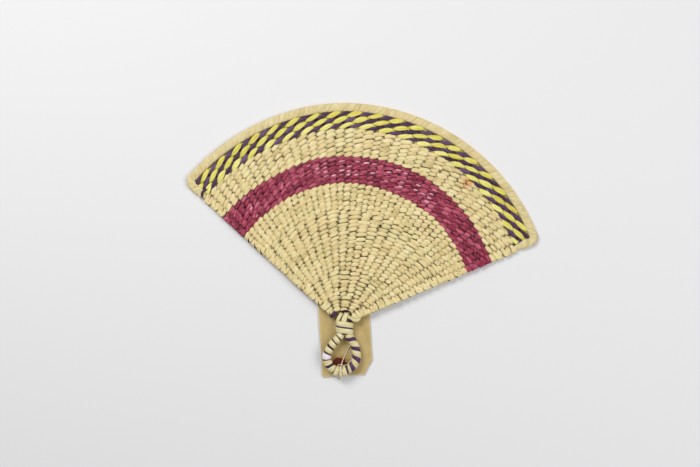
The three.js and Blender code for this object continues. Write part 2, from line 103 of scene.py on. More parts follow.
# String, from the middle of the loop's bottom along the handle's axes
STRING_POINTS = np.array([
    (11.2, 26.5, -5), (8.1, 22.5, -5), (6, 18.7, -5), (4.05, 14.85, -4.9), (2.25, 11.25, -4.5),
    (1.1, 8.2, -2.6), (0.5, 6.1, 1.2), (0, 3.9, 4.7), (-0.4, 0, 6.1), (-0.6, -3.9, 4.7),
    (-0.6, -6.3, 1), (-0.6, -7.65, -2.2), (-0.65, -7.95, -4.4), (-0.7, -7.65, -5.5), (-0.8, -6.85, -6.3),
    (-0.95, -5.75, -6.6), (-1.8, -3.2, -6.6), (-2.9, -0.9, -6.6), (-3.7, 1.3, -6.6), (-3.75, 3.5, -6.5),
    (-2.65, 5.1, -5.9), (-0.9, 5.45, -5.1), (0.9, 5.1, -4.65), (2.7, 4.8, -4.6), (4.6, 5.2, -4.75),
    (6.5, 6.2, -4.9), (8.2, 7.8, -5), (9.3, 10, -5.05), (9.2, 12.8, -5.05), (8.2, 15.6, -5.05),
    (7.2, 17.9, -5.05),
]) * MM

# Places that the frame gives
loop_bottom = np.array(frame["joints"][0]["pos_m"])
HANDLE_HEIGHT = loop_bottom[2]
APEX_X = (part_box("rib_20")[0].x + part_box("rib_21")[1].x) / 2
APEX_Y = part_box("rim_border")[1].y - RIM_RADIUS
BLADE_HEIGHT = RIM_THICKNESS / 2
hole = (np.array(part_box("tag_patch")[0]) + np.array(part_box("tag_patch")[1])) / 2
handle_x = np.array([math.cos(HANDLE_TURN), math.sin(HANDLE_TURN), 0])
handle_y = np.array([-math.sin(HANDLE_TURN), math.cos(HANDLE_TURN), 0])
up = np.array([0, 0, 1.0])


def along_handle(vectors):
    return vectors[:, :1] * handle_x + vectors[:, 1:2] * handle_y + vectors[:, 2:3] * up


def from_loop_bottom(points):
    return loop_bottom + along_handle(points)


def from_neck(points):
    loop_bottom_point = LOOP_POINTS[len(LOOP_POINTS) // 2]
    return from_loop_bottom(points - np.append(loop_bottom_point, 0))


# Curves and strand skins

def unit(vectors):
    return vectors / np.linalg.norm(vectors, axis=-1, keepdims=True)


def ease(share):
    share = np.clip(share, 0, 1)
    return share * share * (3 - 2 * share)


def path_lengths(points):
    steps = np.linalg.norm(np.diff(points, axis=0), axis=1)
    return np.concatenate([[0], np.cumsum(steps)])


def path_directions(points, closed=False):
    if closed:
        return unit(np.roll(points, -1, axis=0) - np.roll(points, 1, axis=0))
    return unit(np.gradient(points, axis=0))


CURVE_STEPS = 24  # points worked out from one given point to the next


def smooth_route(points, spacing):
    """Points at even spacing on a centripetal Catmull-Rom curve through the given ones."""
    before = 2 * points[0] - points[1]
    after = 2 * points[-1] - points[-2]
    knots = np.vstack([before, points, after])
    fine = []
    share = np.linspace(0, 1, CURVE_STEPS, endpoint=False)[:, None]
    for p0, p1, p2, p3 in zip(knots, knots[1:], knots[2:], knots[3:]):
        t1 = np.linalg.norm(p1 - p0) ** 0.5
        t2 = t1 + np.linalg.norm(p2 - p1) ** 0.5
        t3 = t2 + np.linalg.norm(p3 - p2) ** 0.5
        t = t1 + (t2 - t1) * share
        a1 = p0 + (p1 - p0) * t / t1
        a2 = p1 + (p2 - p1) * (t - t1) / (t2 - t1)
        a3 = p2 + (p3 - p2) * (t - t2) / (t3 - t2)
        b1 = a1 + (a2 - a1) * t / t2
        b2 = a2 + (a3 - a2) * (t - t1) / (t3 - t1)
        fine.append(b1 + (b2 - b1) * (t - t1) / (t2 - t1))
    fine = np.vstack(fine + [points[-1:]])
    lengths = path_lengths(fine)
    count = max(2, round(lengths[-1] / spacing) + 1)
    even = np.linspace(0, lengths[-1], count)
    return np.stack([np.interp(even, lengths, column) for column in fine.T], axis=1)


class Route:
    """A smooth path whose point and direction can be asked for at any place along it."""

    def __init__(self, points, spacing):
        self.points = smooth_route(points, spacing)
        self.lengths = path_lengths(self.points)
        self.directions = path_directions(self.points)
        self.total = self.lengths[-1]

    def look_up(self, columns, place):
        return np.stack([np.interp(place, self.lengths, column) for column in columns.T], axis=-1)

    def at(self, place):
        return self.look_up(self.points, place)

    def ahead(self, place):
        return unit(self.look_up(self.directions, place))


# Sections of a strand: places across its width and through its thickness, round it in order
LENS = np.array([(-1, 0), (-0.74, -0.8), (0.74, -0.8), (1, 0), (0.74, 0.8), (-0.74, 0.8)])
LENS_EDGE = np.abs(LENS[:, 0]) == 1
LENS_OUTER = (LENS[:, 0] > 0) & ~LENS_EDGE
PAD = np.array([
    (-1, 0), (-0.8, -0.62), (0, -1), (0.8, -0.62), (1, 0), (0.8, 0.62), (0, 1), (-0.8, 0.62)])


def round_section(sides):
    turn = 2 * math.pi * np.arange(sides) / sides
    return np.stack([np.cos(turn), np.sin(turn)], axis=1)


# Values at each point for a material; one of them is a share of painted shade, for shadow at crossings
# and between rows
POINT_VALUES = ("tone", "hue", "fleck", "dip", "along", "across")


class Skin:
    """Gathers strands into one mesh, with values at every point for its material."""

    def __init__(self):
        self.points = []
        self.faces = []
        self.values = {name: [] for name in POINT_VALUES}
        self.count = 0

    def add(self, centres, wide, half_width, half_thickness, closed=False, section=PAD, **values):
        """A strand along centres, with wide as the way its width lies.

        A value is one number, or one for each centre, or one for each point of each section.
        """
        rings = len(centres)
        ahead = path_directions(centres, closed)
        wide = unit(wide - (wide * ahead).sum(-1, keepdims=True) * ahead)
        thick = np.cross(ahead, wide)
        across = np.broadcast_to(half_width, rings)[:, None, None] * wide[:, None, :]
        through = np.broadcast_to(half_thickness, rings)[:, None, None] * thick[:, None, :]
        grid = centres[:, None, :] + section[:, :1] * across + section[:, 1:] * through
        self.add_rings(grid, section, closed, **values)

    def add_rings(self, grid, section, closed=False, **values):
        """A strand whose points are known, ring by ring."""
        rings, size = grid.shape[:2]
        self.points.append(grid.reshape(-1, 3))
        first = self.count + size * np.arange(rings)
        if closed:
            first = np.append(first, first[0])
        corner = np.arange(size)
        following = (corner + 1) % size
        a = first[:-1, None] + corner
        b = first[:-1, None] + following
        c = first[1:, None] + following
        d = first[1:, None] + corner
        self.faces += np.stack([a, b, c, d], axis=-1).reshape(-1, 4).tolist()
        if not closed:
            self.faces.append((first[0] + corner[::-1]).tolist())
            self.faces.append((first[-1] + corner).tolist())
        values["along"] = path_lengths(grid.mean(axis=1))
        values["across"] = np.tile(section[:, 0], (rings, 1))
        for name in POINT_VALUES:
            value = np.asarray(values.get(name, 0.0))
            if value.ndim == 1:
                value = value[:, None]
            self.values[name].append(np.broadcast_to(value, (rings, size)).ravel())
        self.count += rings * size

    def piece(self, name, material, body, slot, *nodes):
        mesh = bpy.data.meshes.new(name)
        mesh.from_pydata(np.vstack(self.points), [], self.faces)
        for value_name, parts in self.values.items():
            attribute = mesh.attributes.new(value_name, "FLOAT", "POINT")
            attribute.data.foreach_set("value", np.concatenate(parts).astype(np.float32))
        mesh.shade_smooth()
        return show(mesh, material, body, slot, *nodes)


def raised(values, power):
    return np.sign(values) * np.abs(values) ** power


class Tube:
    """A route with a section that strips are wound on. Turn 0 is its right side, a quarter its top."""

    def __init__(self, route, half_width, half_height, flatness=1.0):
        self.route = route
        self.half_width = half_width
        self.half_height = half_height
        self.flatness = flatness

    def wind(self, skin, turn, place, half_width, half_thickness, lap=0.0, lift=0.0, **values):
        """A strip: at each of these turns round the tube, its place along it."""
        half_width = np.broadcast_to(half_width, len(turn))[:, None]
        lift = np.broadcast_to(lift, len(turn))[:, None]
        place = np.clip(place[:, None] + half_width * PAD[:, 0], 0, self.route.total)
        cosine = np.cos(2 * math.pi * turn)[:, None]
        sine = np.sin(2 * math.pi * turn)[:, None]
        wide = self.half_width(place)
        high = self.half_height(place)
        side = np.cross(self.route.ahead(place), up)
        x = wide * raised(cosine, self.flatness)
        z = high * raised(sine, self.flatness)
        out_x = raised(cosine, 2 - self.flatness) / wide
        out_z = raised(sine, 2 - self.flatness) / high
        out = unit(side * out_x[..., None] + up * out_z[..., None])
        off = lift + lap * PAD[:, 0] - half_thickness * PAD[:, 1]
        grid = self.route.at(place) + side * x[..., None] + up * z[..., None] + out * off[..., None]
        skin.add_rings(grid, PAD, **values)


def add_object(name, data):
    added = bpy.data.objects.new(name, data)
    bpy.context.scene.collection.objects.link(added)
    return added


def show(mesh, material, body, slot, *nodes):
    mesh.materials.append(material)
    shown = add_object(mesh.name, mesh)
    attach(shown, body)
    if nodes:
        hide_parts(*nodes)
    return shown


TIP_LENGTH = 0.3  # share of a strip's length over which its end narrows


def lay_strip(skin, points, spacing, half_width, half_thickness, tip=1.0, **values):
    """A strip laid flat on a curve through points. tip is the share of its width left at its ends."""
    path = smooth_route(points, spacing)
    along = np.linspace(0, 1, len(path))
    narrowing = tip + (1 - tip) * ease(np.minimum(along, 1 - along) / TIP_LENGTH)
    wide = np.cross(up, path_directions(path))
    skin.add(path, wide, half_width * narrowing, half_thickness, **values)


# Materials

SPECULAR = 0.35
MAIN_SHARE = 0.6  # of the first of two noises in a tone
MIX_INPUTS = (0, 6, 7)  # a mix node's sockets for a share and two colours
MIX_OUTPUT = 2


class Nodes:
    """A material's node tree, built with short calls."""

    def __init__(self, name, roughness):
        self.material = bpy.data.materials.new(name)
        self.material.use_nodes = True
        self.tree = self.material.node_tree
        self.shader = self.tree.nodes["Principled BSDF"]
        self.shader.inputs["Roughness"].default_value = roughness
        self.shader.inputs["Specular IOR Level"].default_value = SPECULAR

    def add(self, kind, inputs=(), **settings):
        node = self.tree.nodes.new(kind)
        for key, value in settings.items():
            setattr(node, key, value)
        for key, value in dict(inputs).items():
            self.feed(node.inputs[key], value)
        return node

    def feed(self, socket, value):
        if isinstance(value, bpy.types.NodeSocket):
            self.tree.links.new(value, socket)
        else:
            socket.default_value = value

    def math(self, operation, a, b=0.0, c=0.0):
        return self.add("ShaderNodeMath", {0: a, 1: b, 2: c}, operation=operation).outputs[0]

    def value(self, name):
        return self.add("ShaderNodeAttribute", attribute_name=name).outputs["Fac"]

    def noise(self, place, scale, detail=2.0, roughness=0.5):
        inputs = {"Vector": place, "Scale": scale, "Detail": detail, "Roughness": roughness}
        return self.add("ShaderNodeTexNoise", inputs).outputs["Fac"]

    def ramp(self, value, *stops):
        node = self.add("ShaderNodeValToRGB", {"Fac": value})
        elements = node.color_ramp.elements
        while len(elements) < len(stops):
            elements.new(1.0)
        for element, (place, color) in zip(elements, stops):
            element.position = place
            element.color = (*color, 1.0)
        return node.outputs["Color"]

    def step(self, value, low, high):
        return self.ramp(value, (low, (0, 0, 0)), (high, (1, 1, 1)))

    def fade(self, distance, reach, start, end, share):
        """A share that fades to none from start to end, which are shares of reach."""
        near = self.math("DIVIDE", distance, reach)
        return self.ramp(near, (start, (share, share, share)), (end, (0, 0, 0)))

    def tone(self, main, other):
        """A tone from two noises, the first of which counts for more."""
        rest = self.math("MULTIPLY", other, 1 - MAIN_SHARE)
        return self.math("MULTIPLY_ADD", main, MAIN_SHARE, rest)

    def mix(self, share, a, b, blend="MIX"):
        node = self.add("ShaderNodeMix", data_type="RGBA", blend_type=blend)
        for number, value in zip(MIX_INPUTS, (share, a, b)):
            self.feed(node.inputs[number], (*value, 1.0) if isinstance(value, tuple) else value)
        return node.outputs[MIX_OUTPUT]

    def here(self):
        return self.add("ShaderNodeTexCoord").outputs["Object"]

    def paint(self, color):
        self.feed(self.shader.inputs["Base Color"], color)

    def bump(self, height, strength, distance):
        inputs = {"Height": height, "Strength": strength, "Distance": distance}
        self.feed(self.shader.inputs["Normal"], self.add("ShaderNodeBump", inputs).outputs["Normal"])


def srgb(red, green, blue):
    """A colour as it is seen, from 0 to 255, as the linear values that shaders take."""
    shares = np.array([red, green, blue]) / 255
    return tuple(np.where(shares <= 0.04045, shares / 12.92, ((shares + 0.055) / 1.055) ** 2.4))


# How fast a leaf strip's streaks change along it, across it and from one strip to the next
STREAK_CHANGES = (90.0, 1.1, 37.0)
SPECK_SHARE = 0.45
WARM_TINT = srgb(255, 251, 246)
COOL_TINT = srgb(252, 254, 248)


def leaf_material(name, painted_shade_color, dark, middle, light, fleck,
                  stitch_contrast=0.06, streak_contrast=1.2, roughness=0.5):
    """Dried leaf strip: streaks along its fibres, a tone of its own for each stitch, specks and flecks.

    Its first colour is painted shade, mixed in where the strip dips between two ribs and where it meets
    the next row.
    """
    nodes = Nodes(name, roughness)
    place = nodes.add("ShaderNodeCombineXYZ")
    for socket, value_name, change in zip(place.inputs, ("along", "across", "hue"), STREAK_CHANGES):
        nodes.feed(socket, nodes.math("MULTIPLY", nodes.value(value_name), change))
    streaks = nodes.noise(place.outputs[0], scale=1.6, detail=3.0, roughness=0.6)
    tone = nodes.math("MULTIPLY_ADD", nodes.value("tone"), stitch_contrast, (1 - streak_contrast) / 2)
    tone = nodes.math("MULTIPLY_ADD", streaks, streak_contrast, tone)
    color = nodes.ramp(tone, (0.1, dark), (0.5, middle), (0.85, light))
    blotches = nodes.step(nodes.noise(nodes.here(), scale=110.0, detail=3.0), low=0.38, high=0.62)
    color = nodes.mix(1.0, color, nodes.mix(blotches, COOL_TINT, WARM_TINT), "MULTIPLY")
    specks = nodes.step(nodes.noise(nodes.here(), scale=900.0, detail=1.0), low=0.7, high=0.78)
    color = nodes.mix(nodes.math("MULTIPLY", specks, SPECK_SHARE), color, dark)
    color = nodes.mix(nodes.step(nodes.value("fleck"), low=0.5, high=0.8), color, fleck)
    # Painted shade: mixed towards its shade colour at crossings and along the edges between rows
    nodes.paint(nodes.mix(nodes.value("dip"), color, painted_shade_color))
    nodes.bump(streaks, strength=0.5, distance=0.15 * MM)
    return nodes.material


# Colours of painted shade at crossings and between rows: the first for pale strips, the second for
# magenta ones
SHADE_BROWN = srgb(56, 40, 4)
SHADE_WINE = srgb(52, 4, 16)
STAIN = srgb(220, 156, 104)

straw_leaf = leaf_material(
    "straw_leaf", SHADE_BROWN, srgb(180, 156, 96), srgb(228, 209, 154), srgb(245, 232, 188), STAIN)
rim_leaf = leaf_material(
    "rim_leaf", SHADE_BROWN, srgb(186, 165, 112), srgb(216, 198, 147), srgb(236, 221, 176),
    srgb(250, 246, 232))
magenta_leaf = leaf_material(
    "magenta_leaf", SHADE_WINE, srgb(94, 10, 34), srgb(151, 40, 71), srgb(200, 104, 128),
    srgb(228, 180, 188), stitch_contrast=0.12, streak_contrast=1.9)
yellow_leaf = leaf_material(
    "yellow_leaf", SHADE_BROWN, srgb(184, 166, 64), srgb(220, 209, 92), srgb(238, 232, 150),
    srgb(250, 246, 190))
purple_leaf = leaf_material(
    "purple_leaf", srgb(14, 4, 12), srgb(34, 12, 30), srgb(72, 38, 80), srgb(106, 76, 122),
    srgb(180, 160, 180), stitch_contrast=0.14, streak_contrast=0.9)
wrap_straw = leaf_material(
    "wrap_straw", SHADE_BROWN, srgb(186, 170, 116), srgb(220, 207, 158), srgb(242, 234, 202),
    srgb(232, 224, 228))
cotton_string = leaf_material(
    "cotton_string", SHADE_BROWN, srgb(222, 198, 176), srgb(244, 226, 208), srgb(252, 242, 230),
    srgb(250, 240, 230), stitch_contrast=0.1, streak_contrast=0.5, roughness=0.9)


def rib_material():
    """Leaf ribs and the handle's core, coloured dark all over as painted shade where they show between
    the strips.
    """
    nodes = Nodes("leaf_rib", roughness=0.6)
    streaks = nodes.noise(nodes.here(), scale=900.0, detail=3.0, roughness=0.6)
    tone = nodes.tone(streaks, nodes.noise(nodes.here(), scale=90.0))
    nodes.paint(nodes.ramp(
        tone, (0.3, srgb(74, 54, 20)), (0.5, srgb(104, 80, 38)), (0.7, srgb(134, 110, 62))))
    nodes.bump(streaks, strength=0.3, distance=0.1 * MM)
    return nodes.material


def paper_color(nodes, grain_scale, dark, middle, light):
    """Paper or fibre, clouded and grained."""
    clouds = nodes.noise(nodes.here(), scale=45.0, detail=4.0, roughness=0.6)
    grain = nodes.noise(nodes.here(), grain_scale, detail=3.0, roughness=0.7)
    nodes.bump(grain, strength=0.3, distance=0.06 * MM)
    return nodes.ramp(nodes.tone(clouds, grain), (0.32, dark), (0.5, middle), (0.68, light))


RUST_RAGGED = 4 * MM  # how far the edge of the rust strays


def card_inset(nodes, own):
    """How far a place on the card, given on the tag's own axes, is from the nearest edge."""
    half_width = (CARD_LEFT + CARD_RIGHT) / 2
    half_length = CARD_LENGTH / 2
    parts = nodes.add("ShaderNodeSeparateXYZ", {0: own}).outputs
    insets = []
    for part, half, start in ((parts[0], half_width, CARD_LEFT), (parts[1], half_length, CARD_BELOW)):
        off = nodes.math("ABSOLUTE", nodes.math("SUBTRACT", part, half - start))
        insets.append(nodes.math("SUBTRACT", half, off))
    return nodes.math("MINIMUM", *insets)


def card_material():
    """Manila card: rust from the patch round its hole, and edges worn pale."""
    nodes = Nodes("manila_card", roughness=0.85)
    color = paper_color(nodes, 1500.0, srgb(170, 146, 92), srgb(192, 169, 114), srgb(206, 184, 132))
    own = nodes.add("ShaderNodeMapping", {
        "Vector": nodes.here(),
        "Location": tuple(hole),
        "Rotation": (0, 0, TAG_TURN),
    }, vector_type="TEXTURE").outputs[0]
    reach = nodes.add("ShaderNodeVectorMath", {0: own}, operation="LENGTH").outputs["Value"]
    edge = nodes.math("MULTIPLY", nodes.noise(nodes.here(), scale=260.0, detail=3.0), RUST_RAGGED)
    rust = nodes.fade(nodes.math("ADD", edge, reach), reach=20 * MM, start=0.42, end=0.68, share=0.75)
    color = nodes.mix(rust, color, srgb(146, 92, 34))
    worn = nodes.fade(card_inset(nodes, own), reach=2 * MM, start=0.1, end=0.75, share=0.7)
    nodes.paint(nodes.mix(worn, color, srgb(216, 198, 152)))
    return nodes.material


def patch_material():
    """Red-brown fibre."""
    nodes = Nodes("fibre_patch", roughness=0.9)
    nodes.paint(paper_color(nodes, 2500.0, srgb(54, 12, 8), srgb(92, 34, 16), srgb(128, 62, 26)))
    return nodes.material


rib_leaf = rib_material()
manila_card = card_material()
fibre_patch = patch_material()


# Camera, lights and floor

CAMERA_LENS = 50
CAMERA_PLACE = (-7.1 * MM, 7.2 * MM, 879 * MM)
# Place, size and power in watts
LIGHTS = {
    "key": ((-0.7, 0.6, 1.1), 0.7, 12.5),
    "fill": ((0.95, 0.1, 1.15), 1.0, 9.5),
}
WORLD_STRENGTH = 0.3
FLOOR_PAINT = (0.78, 0.78, 0.79, 1)


def make_camera():
    data = bpy.data.cameras.new("camera")
    data.lens = CAMERA_LENS
    camera = add_object("camera", data)
    camera.location = CAMERA_PLACE
    camera.rotation_euler = (0, 0, HANDLE_TURN)
    bpy.context.scene.camera = camera


def add_light(name, place, size, power):
    data = bpy.data.lights.new(name, "AREA")
    data.shape = "DISK"
    data.size = size
    data.energy = power
    light = add_object(name, data)
    light.location = place
    aim = -light.location
    light.rotation_euler = aim.to_track_quat("-Z", "Y").to_euler()


def make_studio():
    for name, (place, size, power) in LIGHTS.items():
        add_light(name, place, size, power)
    world = bpy.data.worlds.new("studio")
    world.use_nodes = True
    background = world.node_tree.nodes["Background"]
    background.inputs["Color"].default_value = (1, 1, 1, 1)
    background.inputs["Strength"].default_value = WORLD_STRENGTH
    bpy.context.scene.world = world
    bpy.context.scene.view_settings.view_transform = "Standard"


def make_floor():
    half = 20.0
    mesh = bpy.data.meshes.new("floor")
    corners = [(-half, -half, 0), (half, -half, 0), (half, half, 0), (-half, half, 0)]
    mesh.from_pydata(corners, [], [(0, 1, 2, 3)])
    nodes = Nodes("floor_paint", roughness=0.8)
    nodes.paint(FLOOR_PAINT)
    mesh.materials.append(nodes.material)
    floor = add_object("floor", mesh)


make_camera()
make_studio()
make_floor()


# String: plies twisted on each other

STRING_LAY = 2.8 * MM
PLY_COUNT = 2
PLY_OFFSET = 0.22 * MM
PLY_RADIUS = 0.3 * MM


def make_string():
    path = smooth_route(from_loop_bottom(STRING_POINTS), spacing=0.35 * MM)
    ahead = path_directions(path)
    side = np.zeros_like(path)
    side[0] = unit(np.cross(ahead[0], up))
    for k in range(1, len(path)):
        side[k] = unit(side[k - 1] - (side[k - 1] @ ahead[k]) * ahead[k])
    other = np.cross(ahead, side)
    lay = 2 * math.pi * path_lengths(path)[:, None] / STRING_LAY
    skin = Skin()
    for ply in range(PLY_COUNT):
        turn = lay + 2 * math.pi * ply / PLY_COUNT
        out = np.cos(turn) * side + np.sin(turn) * other
        tone = rng.normal(0, scale=0.5, size=len(path))
        skin.add(path + PLY_OFFSET * out, out, PLY_RADIUS, PLY_RADIUS,
                 section=round_section(sides=6), tone=tone)
    string = skin.piece("twisted_string", cotton_string, "tag", "cotton_string", "tag_string")


make_string()


# Rows of the blade

def row_radius(radius, angle):
    """A row's radius at an angle: it is nearest the apex at the side edges, and lower at the left."""
    rim_share = np.clip((radius - OUTER_START) / (RIM_RADIUS - OUTER_START), 0, 1)
    left_share = ease((-angle - LEFT_DROP_START) / (LEFT_DROP_END - LEFT_DROP_START))
    left_drop = LEFT_DROP + (RIM_LEFT_DROP - LEFT_DROP) * rim_share
    drop = EDGE_DROP * (angle / HALF_ANGLE) ** 2 + left_drop * left_share
    return radius - drop * np.minimum(1, radius / FULL_DROP_RADIUS)


FLAT_RADIUS = min(row_radius(STRIPE_START, -HALF_ANGLE), row_radius(STRIPE_START, HALF_ANGLE))


def on_blade(radius, angle, height):
    lift = (HANDLE_HEIGHT - BLADE_HEIGHT) * np.maximum(0, 1 - radius / FLAT_RADIUS)
    return np.stack([
        APEX_X + radius * np.sin(angle),
        APEX_Y + radius * np.cos(angle),
        BLADE_HEIGHT + lift + height,
    ], axis=-1)


def outward(angle):
    return np.stack([np.sin(angle), np.cos(angle), 0 * angle], axis=-1)


# Waves in which rows stray: size in mm, phase gained in a radian's turn, and radius that gains a radian
WANDER_WAVES = [(0.5, 5, 17 * MM), (0.3, 11, -9 * MM), (0.15, 23, 6 * MM)]
wander_phases = rng.uniform(0, 2 * math.pi, len(WANDER_WAVES))


def wander(radius, angle):
    """How far rows stray together from their true arcs."""
    strayed = 0
    for (size, waves, reach), phase in zip(WANDER_WAVES, wander_phases):
        strayed = strayed + size * np.sin(waves * angle + radius / reach + phase)
    return strayed * MM


def twine(place, front_half):
    """A strand's height and slant, from -1 to 1, at a place in ribs from the middle of a stitch.

    front_half is half a stitch's length. The strand is behind the blade for the rest of two ribs.
    """
    off = (place + 1) % 2 - 1
    before = off / front_half
    after = np.sign(off) * (1 + (np.abs(off) - front_half) / (1 - front_half))
    turn = np.where(np.abs(off) < front_half, before, after) * math.pi / 2
    return np.cos(turn), np.sin(turn)


STEPS = np.array([0, 0.22, 0.38, 0.5, 0.62, 0.78])  # places of a strand's rings from rib to rib
TURN = np.radians([90, 60, 30, 0, -30, -60, -90])  # and round the outermost ribs


# How much stitches differ: in size, as a share, in slip along the row, in columns, and outward, in rows
SIZE_SPREAD = 0.07
SLIP_SPREAD = 0.08
SHIFT_SPREAD = 0.06
GAP_POWER = 1.4  # above 1, so that stitches with little painted shade at their crossings outnumber darkly shaded ones
BULGE_POWER = 0.5  # below 1, so that a stitch is flatter than its twining
CROSSING_POWER = 3  # how narrow the painted shade at the crossings is


def stitch_chances(columns, shift_spread):
    """How each stitch of a row's two strands differs from the rest."""
    shape = (2, columns)
    return {
        "width": 1 + rng.normal(0, SIZE_SPREAD, shape),
        "height": 1 + rng.normal(0, SIZE_SPREAD, shape),
        "shift": rng.normal(0, shift_spread, shape),
        "tone": rng.normal(0, 1, shape),
        "hue": rng.uniform(0, 1, shape),
        "gap": rng.uniform(0, 1, shape) ** GAP_POWER,
        "slip": rng.normal(0, SLIP_SPREAD, columns),
    }


# A row's turn at a side edge: its shift outward and its width in rows, and how far it stands out in mm
LONE_TURN = (0, 1.35, 0.1)
OVER_TURN = (0.5, 1.8, 0.3)
UNDER_TURN = (-0.3, 1.1, -0.7)
STAND_SPREAD = 0.2


def selvedge_turn(number, rows, side, pitch):
    """A row's turn at one side edge, which is 0 for the left and 1 for the right, in metres.

    Rows turn in pairs, one over the other, and not in the same pairs at both edges.
    """
    is_first = (number + side) % 2 == 0
    partner = number + 1 if is_first else number - 1
    if not 0 <= partner < rows:
        shift, width, stand = LONE_TURN
    elif is_first:
        shift, width, stand = OVER_TURN
        stand = rng.normal(stand, STAND_SPREAD)
    else:
        shift, width, stand = UNDER_TURN
    return shift * pitch, width * pitch, stand * MM


@dataclass
class Band:
    """Rows of one colour."""

    start: float
    end: float
    rows: int
    front: float  # half a stitch's length, in columns, so that a stitch laps past the next
    lean: float  # how far it slants outward
    gap: float  # strength of the painted shade at the crossings
    line: float  # and along stitch edges, as lines of painted shade between rows
    columns: int = RIB_COUNT
    taper: float = 0.62  # how pointed a stitch is
    narrow: float = 0.36  # its width at a crossing, in rows
    marks: object = None  # function that gives its flecks or its stain

    def __post_init__(self):
        self.pitch = (self.end - self.start) / self.rows
        self.column_angle = 2 * HALF_ANGLE / self.columns

    def belt(self, number, radius):
        """A row's stations along it, round the last rib, back along it and round the first rib."""
        last = self.columns - 1
        places = np.append((np.arange(last)[:, None] + STEPS).ravel(), last)
        counts = [len(places), len(TURN), len(places), len(TURN)]
        none = 0 * TURN
        edge = row_radius(radius, HALF_ANGLE) * self.column_angle / 2
        beyond = max(0, edge - RISE - FACE_HALF) + RISE * np.cos(TURN)
        right_shift, right_width, right_stand = selvedge_turn(number, self.rows, 1, self.pitch)
        left_shift, left_width, left_stand = selvedge_turn(number, self.rows, 0, self.pitch)
        face_out, slant_out = twine(places - number, self.front)
        face_back, slant_back = twine(places[::-1] - number - 1, self.front)
        at = np.concatenate([places, none + last, places[::-1], none])
        past = np.concatenate([0 * places, beyond + right_stand, 0 * places, -beyond - left_stand])
        face = np.concatenate([
            face_out, face_out[-1] * np.sin(TURN), face_back, face_back[-1] * np.sin(TURN)])
        slant = np.concatenate([slant_out, none, slant_back, none])
        strand = np.repeat([0, 0, 1, 1], counts)
        is_turn = np.repeat([False, True, False, True], counts)
        turn_shift = np.repeat([0, right_shift, 0, left_shift], counts)
        turn_width = np.repeat([0, right_width, 0, left_width], counts)
        return at, past, face, slant, strand, is_turn, turn_shift, turn_width

    def add_row(self, skin, number):
        """One closed belt of two strands, which turn into each other at the side edges."""
        pitch = self.pitch
        radius = self.start + (number + 0.5) * pitch
        chance = stitch_chances(self.columns, SHIFT_SPREAD * pitch)
        at, past, face, slant, strand, is_turn, turn_shift, turn_width = self.belt(number, radius)
        rib = np.rint(at).astype(int)
        share = np.where(is_turn, 1, np.abs(face))

        between = 1 - np.abs(2 * (at % 1) - 1)
        slid = at + chance["slip"][np.floor(at).astype(int)] * between
        angle = (slid - (self.columns - 1) / 2) * self.column_angle
        here = row_radius(radius + wander(radius, angle), angle) + turn_shift
        angle = angle + past / here
        here = here + self.lean * slant + chance["shift"][strand, rib] * share * ~is_turn
        bulge = np.where(is_turn, face, np.sign(face) * share ** BULGE_POWER)
        height = RISE * bulge * (1 + (chance["height"][strand, rib] - 1) * share)
        widest = ROW_WIDTH * pitch * chance["width"][strand, rib]
        narrow = self.narrow * pitch
        width = np.where(is_turn, turn_width, narrow + (widest - narrow) * share ** self.taper)
        thick = np.where(is_turn, TURN_HALF, CROSS_HALF + (FACE_HALF - CROSS_HALF) * share)
        # Painted shade: each strand is mixed towards a dark colour where it dips between ribs at a
        # crossing and along its edges where rows meet, standing in for shadow there
        dark = chance["gap"][strand, rib]
        crossing = self.gap * (1 - share) ** CROSSING_POWER
        dip = np.minimum(1, dark[:, None] * (crossing[:, None] + self.line * LENS_EDGE))
        where = {
            "row": number, "strand": strand, "rib": rib, "off": at - rib, "radius": here, "angle": angle}
        fleck = 0.0 if self.marks is None else self.marks(where)
        skin.add(on_blade(here, angle, height), outward(angle), width / 2, thick, closed=True,
                 section=LENS, fleck=fleck, dip=dip,
                 tone=chance["tone"][strand, rib], hue=chance["hue"][strand, rib])


# Undyed flecks: the angles and rows with most of them, and their chances there and elsewhere
FLECK_START = math.radians(-27)
FLECK_END = math.radians(25)
FLECK_ROWS = (1, 2, 3, 4)
NEAR_CHANCES = (0.75, 0.28)  # at every second rib and at the others
FAR_CHANCE = 0.04
OTHER_ROW_SHARE = 0.1
FAINTEST_FLECK = 0.55
DASH_START = -0.1  # in ribs from the middle of a stitch
DASH_END = 0.45


def undyed_flecks(where):
    """Undyed dashes along the outer edge of some stitches, most of them at every second rib."""
    shape = (2, RIB_COUNT)
    ribs = np.arange(RIB_COUNT)
    rib_angle = (ribs - (RIB_COUNT - 1) / 2) * 2 * HALF_ANGLE / RIB_COUNT
    is_near = (rib_angle > FLECK_START) & (rib_angle < FLECK_END)
    chance = np.where(is_near, np.where(ribs % 2 == 0, *NEAR_CHANCES), FAR_CHANCE)
    if where["row"] not in FLECK_ROWS:
        chance = OTHER_ROW_SHARE * chance
    picked = rng.uniform(0, 1, shape) < chance
    strength = picked * rng.uniform(FAINTEST_FLECK, 1, shape)
    is_dash = (where["off"] > DASH_START) & (where["off"] < DASH_END)
    return (strength[where["strand"], where["rib"]] * is_dash)[:, None] * LENS_OUTER


STAIN_ANGLE = math.radians(31.8)
STAIN_RADIUS = 171.6 * MM
STAIN_SIZE = 6 * MM
STAIN_END = 1.5  # times its size from its middle
STAIN_STRENGTH = 0.75


def orange_stain(where):
    """One blot of dye."""
    along = STAIN_RADIUS * (where["angle"] - STAIN_ANGLE)
    away = np.hypot(where["radius"] - STAIN_RADIUS, along) / STAIN_SIZE
    return STAIN_STRENGTH * ease(STAIN_END - away)


